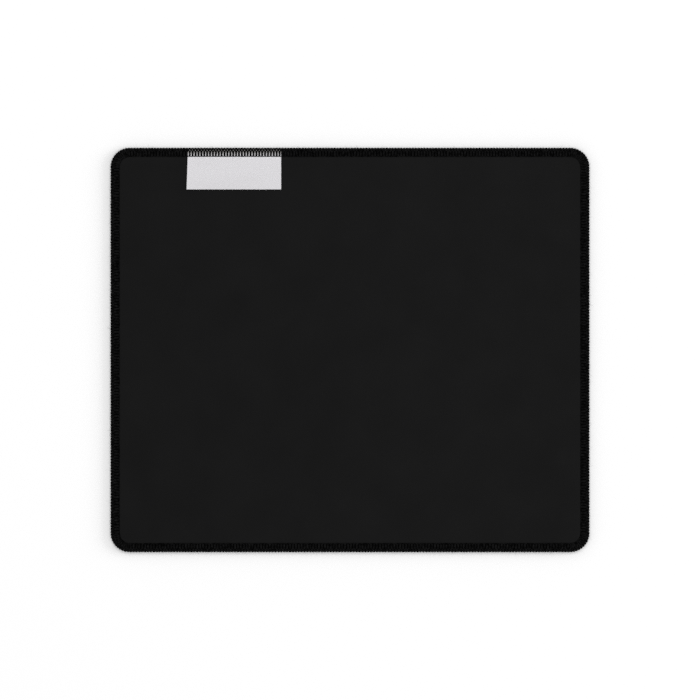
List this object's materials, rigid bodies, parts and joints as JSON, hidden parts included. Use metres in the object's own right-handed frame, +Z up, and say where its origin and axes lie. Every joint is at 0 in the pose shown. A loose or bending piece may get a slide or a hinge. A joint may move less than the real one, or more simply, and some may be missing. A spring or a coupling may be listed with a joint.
{
  "type": "mouse pad",
  "caption": "Thin rectangular mouse pad with rounded corners: cloth face, foam rubber base, overlocked thread edge and a blank sewn-in label that lifts.",
  "frame": {"origin": "middle of the cloth face, which the pad lies on as it is shown: bottom centre of its box", "axes": "+Z up, from the cloth face to the rubber face; +X along the long side; +Y towards the side that carries the label. The pad is shown face down. In use it is turned over, with the rubber face on the desk."},
  "size_m": [0.239, 0.2018, 0.0047],
  "materials": {
    "face_cloth": "fine plain-faced polyester knit, matt",
    "bond": "thin hot-melt film, hidden between the layers",
    "foam_rubber": "matt black foam rubber with a very fine grain",
    "thread": "black spun polyester thread, slightly hairy",
    "label_satin": "white woven satin with a soft sheen, unprinted"
  },
  "bodies": {
    "pad": {"cloth_face": "face_cloth", "bond_film": "bond", "rubber_base": "foam_rubber", "lower_looper_thread": "thread", "upper_looper_thread": "thread", "needle_thread": "thread", "sewn_label_hem": "label_satin"},
    "label": {"sewn_label_flap": "label_satin"}
  },
  "joints": [
    {"name": "label_lift", "type": "hinge", "parent": "pad", "child": "label", "pos_m": [-0.05775, 0.09558, 0.0043], "axis": [-1, 0, 0], "range_deg": [0, 180]}
  ]
}
